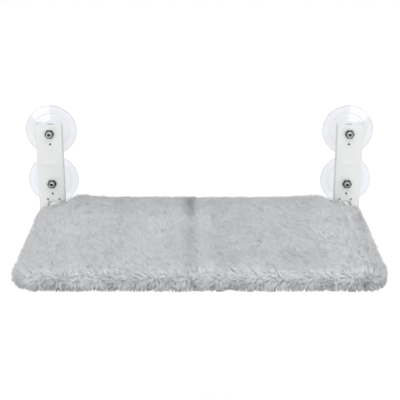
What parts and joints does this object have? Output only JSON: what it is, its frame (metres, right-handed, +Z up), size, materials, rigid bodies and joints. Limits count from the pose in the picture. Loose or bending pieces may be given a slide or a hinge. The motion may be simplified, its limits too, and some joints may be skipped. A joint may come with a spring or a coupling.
{
  "type": "window mounted cat perch",
  "caption": "Plush padded seat on a bent tube frame that folds up on two pivot bolts, hung on a window by sheet-metal brackets with clear suction cups.",
  "frame": {"origin": "on the window glass, midway between the centres of the four suction cups", "axes": "+Y into the glass, away from the room; +X to the right as seen from the room; +Z up"},
  "size_m": [0.562, 0.3275, 0.178],
  "materials": {
    "clear_pvc": "clear soft PVC, glossy",
    "zinc_steel": "zinc plated",
    "white_paint": "white powder coat, satin",
    "nylon": "natural nylon",
    "sling_cloth": "woven polyester",
    "foam": "open-cell foam",
    "plush": "long soft grey pile",
    "base_cloth": "woven polyester",
    "tape": "hook-and-loop tape"
  },
  "bodies": {
    "window_brackets": {"left_wall_bracket": "white_paint", "right_wall_bracket": "white_paint", "upper_left_cup": "clear_pvc", "lower_left_cup": "clear_pvc", "upper_right_cup": "clear_pvc", "lower_right_cup": "clear_pvc", "left_cup_studs": "zinc_steel", "right_cup_studs": "zinc_steel", "left_cup_nuts": "zinc_steel", "right_cup_nuts": "zinc_steel", "left_hinge_bracket": "white_paint", "right_hinge_bracket": "white_paint", "left_hinge_rivets": "white_paint", "right_hinge_rivets": "white_paint", "left_pivot_bolt": "zinc_steel", "right_pivot_bolt": "zinc_steel", "left_pivot_nut": "zinc_steel", "right_pivot_nut": "zinc_steel", "left_pivot_washers": "nylon", "right_pivot_washers": "nylon"},
    "seat": {"left_side_tube": "white_paint", "right_side_tube": "white_paint", "left_rear_tube": "white_paint", "right_rear_tube": "white_paint", "left_end_plug": "nylon", "right_end_plug": "nylon", "front_joiner": "zinc_steel", "rear_joiner": "zinc_steel", "front_joiner_screws": "zinc_steel", "rear_joiner_screws": "zinc_steel", "seat_sling": "sling_cloth", "foam_pad": "foam", "plush_cover": "plush", "cover_base": "base_cloth", "closure_tape": "tape"}
  },
  "joints": [
    {"name": "seat_fold", "type": "hinge", "parent": "window_brackets", "child": "seat", "pos_m": [0, -0.047, -0.08], "axis": [-1, 0, 0], "range_deg": [0, 90]}
  ]
}
